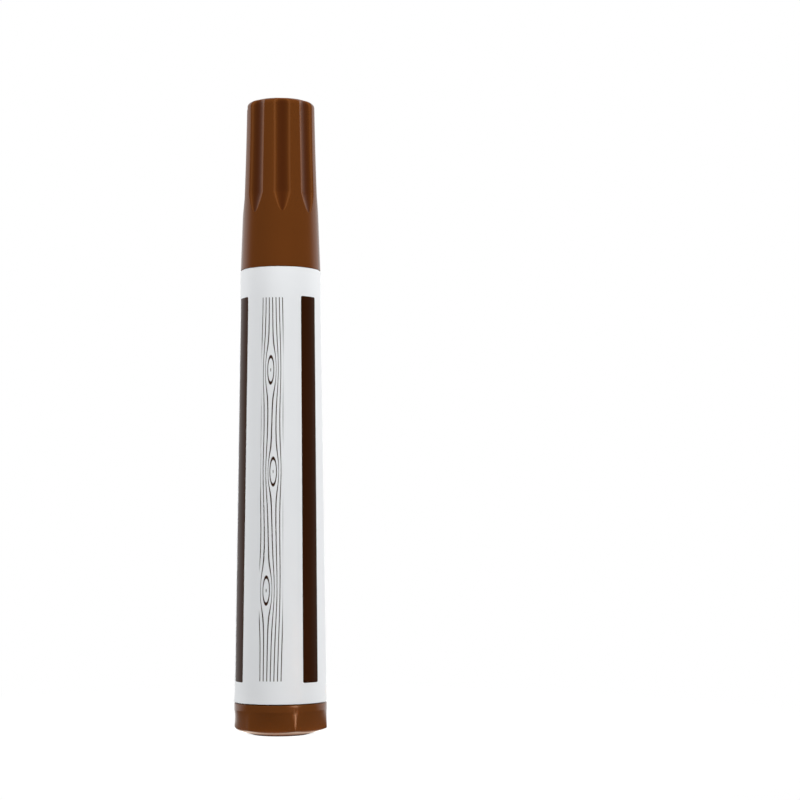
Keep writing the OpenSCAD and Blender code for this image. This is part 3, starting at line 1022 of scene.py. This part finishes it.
steel = Finish("polished_ball_steel", Metallic=1.0)
haze = steel.noise(700, 3)
steel.feed("Base Color", steel.mix(haze + 0.5, colour(186, 187, 190), colour(208, 209, 211)))
steel.feed("Roughness", 0.12 + haze * 0.08)
print("felt, wire and steel are made")

# %% [markdown]
# ## Dressing the bodies
# Each piece takes its finish, stands for the solid that it was made from, and rides on the body that the
# solid belongs to. The spring is held at its lower end and gets shorter when the nib is pressed, so it
# gets a mesh of its own, and the share of its length that it keeps is worked out.

# %% Ride, replace and name the slots
def dress(piece, finish, body, node):
    """Give a piece its finish and its body, in place of a solid."""
    piece.data.materials.clear()
    piece.data.materials.append(finish.material)
    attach(piece, body)
    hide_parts(node)


dress(cap, brown, "cap", "cap_shell")
dress(liner, liner_natural, "cap", "cap_liner")
dress(plug, brown, "pen_body", "tail_plug")
dress(sleeve, film, "pen_body", "label_sleeve")
dress(barrel, barrel_white, "pen_body", "barrel")
dress(holder, holder_white, "pen_body", "tip_holder")
dress(housing, valve_natural, "pen_body", "valve_housing")
dress(retainer, valve_natural, "pen_body", "spring_retainer")
dress(spring, wire, "pen_body", "valve_spring")
dress(nib, felt, "nib_rod", "nib")
dress(stem, stem_white, "stem", "valve_stem")
for index, ball in enumerate(balls, start=1):
    dress(ball, steel, f"ball_{index}", f"mixing_ball_{index}")

travel = next(joint["range_m"][1] for joint in frame["joints"] if joint["name"] == "nib_press")
kept = 1 - travel / (spring_high - spring_low)
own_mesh(spring)
print(f"the spring keeps {kept:.2f} of its length when the nib is pressed")

# %% [markdown]
# ## Floor, light and camera
# The pen stands on a pale floor in front of a white backdrop. Near the pen the floor is a real surface
# that takes its shadow. Further out it turns into plain white, so that no horizon shows. What the camera
# sees as white, a reflection of the backdrop sees as white too. The room is dim on the camera's side, as
# it is behind a photographer's lamps, so the brown gloss stays rich. A ring of the floor round the foot
# glows warmly and lights the dished underside, as light thrown back by a bright table would.

# %% The floor
view_side = math.radians(11.5)
toward_camera = (math.sin(view_side), -math.cos(view_side), 0)


def seen_share(graph, behind):
    """1 for what the camera sees, and for what lies behind the pen in a reflection or through glass."""
    camera_ray, glossy_ray, through_ray = (
        graph.node("ShaderNodeLightPath", {}, {}, f"Is {kind} Ray")
        for kind in ("Camera", "Glossy", "Transmission")
    )
    return camera_ray.at_least(glossy_ray.at_least(through_ray) * behind)


floor_size = 6
floor_front = 0.13
floor_lift = 0.91
ring_glow = 1.45
ring_inner = (5.4 * MM, 7 * MM)
ring_outer = (8.8 * MM, 9.8 * MM)
fade_out = (30 * MM, 120 * MM)
backdrop_depth = 30 * MM
warm = (1.0, 0.86, 0.72, 1)
white_light = (1, 1, 1, 1)

bpy.ops.object.select_all(action="DESELECT")
bpy.ops.mesh.primitive_plane_add(size=floor_size)
floor = bpy.context.object
floor.name = "floor"
bpy.ops.object.mode_set(mode="EDIT")
bpy.ops.mesh.select_all(action="SELECT")
bpy.ops.mesh.bisect(
    plane_co=[floor_front * part for part in toward_camera], plane_no=toward_camera, clear_outer=True)
bpy.ops.object.mode_set(mode="OBJECT")

pale = Finish("pale_floor", Roughness=0.9, Specular_IOR_Level=0.1, Base_Color=(0.1, 0.1, 0.1, 1))
toward = pale.node(
    "ShaderNodeVectorMath", {"operation": "DOT_PRODUCT"}, {0: pale.place, 1: toward_camera}, "Value")
away = pale.node("ShaderNodeVectorMath", {"operation": "LENGTH"}, {0: pale.place}, "Value")
under_pen = away.step(*ring_inner) - away.step(*ring_outer)
seen = seen_share(pale, 1 - toward.step(-backdrop_depth, 0.0))
glow = pale.mix(seen, warm, white_light)
strength = (seen * floor_lift).at_least(under_pen * ring_glow)
lift = pale.node("ShaderNodeEmission", {}, {"Color": glow, "Strength": strength})
lifted = pale.node("ShaderNodeAddShader", {}, {0: Value(pale, pale.shader.outputs[0]), 1: lift})
plain_white = pale.node("ShaderNodeEmission", {}, {"Strength": 1.0})
faded = pale.node("ShaderNodeMixShader", {}, {0: away.step(*fade_out) * seen, 1: lifted, 2: plain_white})
pale.fill(pale.tree.nodes["Material Output"].inputs["Surface"], faded)
floor.data.materials.append(pale.material)
print("the floor has", len(floor.data.vertices), "corners")

# %% The surround
dim_level = 0.1
white_from = -0.6
dim_from = -0.03
world = bpy.data.worlds.new("studio")
bpy.context.scene.world = world
world.use_nodes = True
room = Graph(world.node_tree)
direction = room.node("ShaderNodeTexCoord", {}, {}, "Generated")
facing = room.node(
    "ShaderNodeVectorMath", {"operation": "DOT_PRODUCT"}, {0: direction, 1: toward_camera}, "Value")
behind = 1 - facing.step(white_from, dim_from)
level = dim_level + behind * (1 - dim_level)
background = world.node_tree.nodes["Background"]
room.fill(background.inputs["Strength"], level.at_least(seen_share(room, behind)))
room.fill(background.inputs["Color"], white_light)
print("the room is dim in front of the pen and white behind it")

# %% [markdown]
# Two soft boxes stand left and right of the camera, the right one a little stronger, and a weak one
# behind the pen. They light the colours and stay out of reflections. Turning their glossy rays off isn't
# quite enough for that: some shine still leaks in through multiple importance sampling, so that is off
# too. A low warm card near the foot does the opposite: it gives shine only, in a narrow beam, and draws
# the bright line on the plug's ridge.

# %% Lights
pen_middle = Vector((0, 0, (cad_low.z + cad_high.z) / 2))
box_side = 58
box_distance = 0.8
box_height = 0.5
box_size = 0.45
card_aim = Vector((0, 0, 3 * MM))
card_spread = math.radians(30)


def soft_box(name, side, distance, height, width, length, watts, aim=pen_middle):
    """A rectangular light at an angle from the camera's side of the pen, aimed at a point of it."""
    data = bpy.data.lights.new(name, "AREA")
    data.shape = "RECTANGLE"
    data.size = width
    data.size_y = length
    data.energy = watts
    lamp = bpy.data.objects.new(name, data)
    bpy.context.scene.collection.objects.link(lamp)
    bearing = view_side + math.radians(side)
    lamp.location = (distance * math.sin(bearing), -distance * math.cos(bearing), height)
    lamp.rotation_euler = (aim - lamp.location).to_track_quat("-Z", "Y").to_euler()
    lamp.visible_camera = False
    return lamp


for name, side, watts in (
    ("right_box", box_side, 7.6),
    ("left_box", -box_side, 6.3),
    ("back_box", 180, 2.4),
):
    soft_light = soft_box(name, side, box_distance, box_height, box_size, box_size, watts)
    soft_light.visible_glossy = False
    soft_light.data.cycles.use_multiple_importance_sampling = False
low_card = soft_box(
    "low_card", side=36, distance=0.15, height=9.5 * MM, width=90 * MM, length=12 * MM, watts=0.004,
    aim=card_aim)
low_card.data.spread = card_spread
low_card.data.color = (1.0, 0.6, 0.38)
low_card.visible_diffuse = False

# %% [markdown]
# The picture was taken from a little above the foot, with a long lens. The pen stands left of the
# middle, so the camera is turned to the right of it and tilted up, and rolled by a hair so that the pen
# stays upright.

# %% The camera
image_px = 800
focal_px = 1894.7
axis_px = 280.3
horizon_px = 538.1
camera_distance = 360.7 * MM
camera_height = 36.61 * MM

camera_data = bpy.data.cameras.new("camera")
camera = bpy.data.objects.new("camera", camera_data)
bpy.context.scene.collection.objects.link(camera)
bpy.context.scene.camera = camera
camera_data.sensor_width = 36
camera_data.lens = focal_px / image_px * camera_data.sensor_width
turn_right = math.atan((image_px / 2 - axis_px) / focal_px)
tilt_up = math.atan((horizon_px - image_px / 2) / focal_px * math.cos(turn_right))
keep_upright = math.tan(turn_right) * math.sin(tilt_up)
place = Vector(toward_camera) * camera_distance + Vector((0, 0, camera_height))
camera.matrix_world = (
    Matrix.Translation(place)
    @ Matrix.Rotation(view_side - turn_right, 4, "Z")
    @ Matrix.Rotation(math.pi / 2 + tilt_up, 4, "X")
    @ Matrix.Rotation(-keep_upright, 4, "Z")
)
bpy.context.scene.view_settings.view_transform = "Standard"
print(f"lens {camera_data.lens:.1f} mm, tilted up {math.degrees(tilt_up):.2f} degrees")
